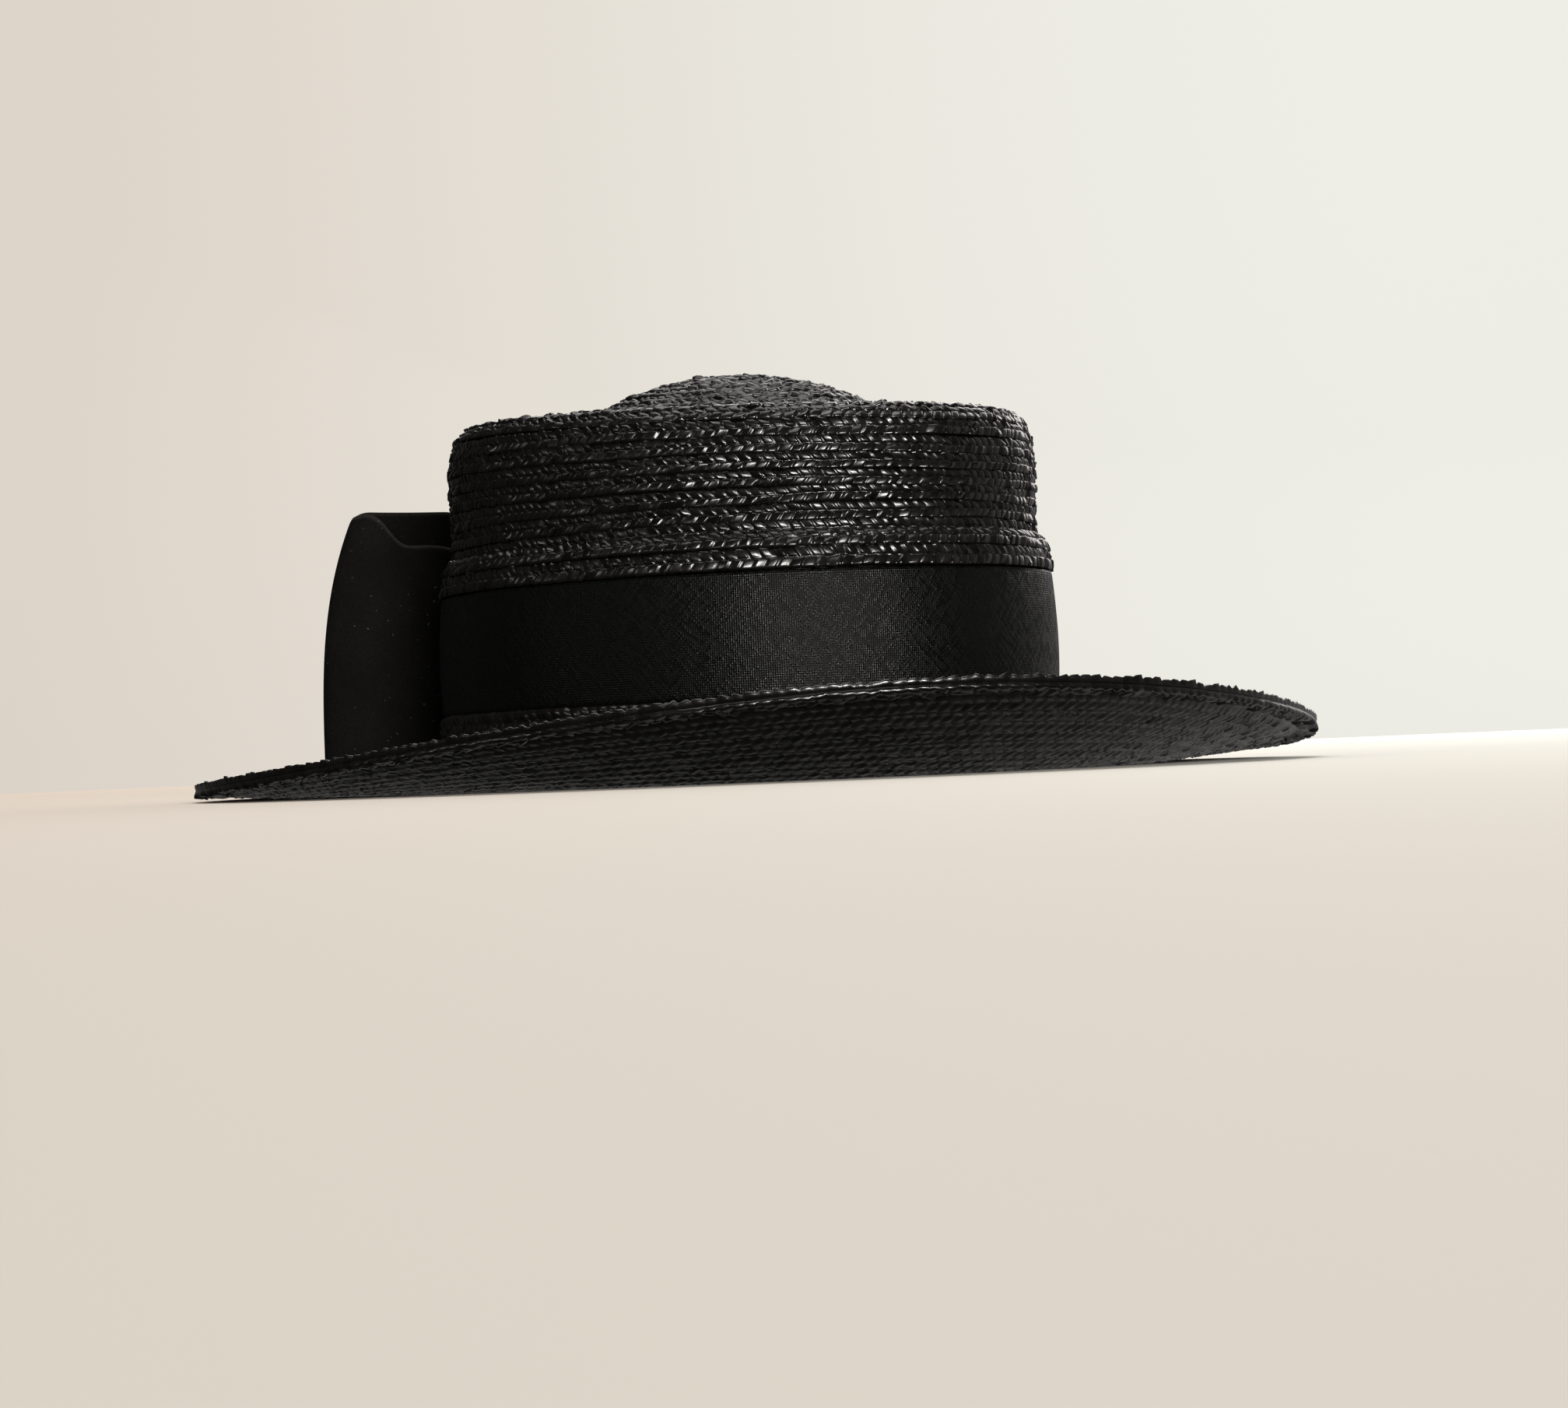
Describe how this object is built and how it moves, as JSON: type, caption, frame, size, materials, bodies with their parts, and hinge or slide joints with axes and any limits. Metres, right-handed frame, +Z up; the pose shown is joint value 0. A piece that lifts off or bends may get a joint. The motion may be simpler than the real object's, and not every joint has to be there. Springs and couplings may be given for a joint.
{
  "type": "wide brim straw hat",
  "caption": "Wide brim hat of sewn straw braid with a domed, grooved crown, a brim turned up at the front, a broad cloth band and a bow at the back.",
  "frame": {"origin": "centre of the brim's outline on the surface that the hat rests on", "axes": "+Z up through the crown, +Y towards the back where the bow is, +X towards the wearer's left"},
  "size_m": [0.3172, 0.3462, 0.1175],
  "materials": {
    "straw": "glossy lacquered plaited straw",
    "band_cloth": "fine woven cloth with a soft sheen",
    "bow_cloth": "matte cloth"
  },
  "bodies": {
    "root": {"crown": "straw", "crown_lip": "straw", "brim": "straw", "band": "band_cloth", "bow_loop_right": "bow_cloth", "bow_loop_left": "bow_cloth", "bow_knot": "bow_cloth"}
  },
  "joints": []
}
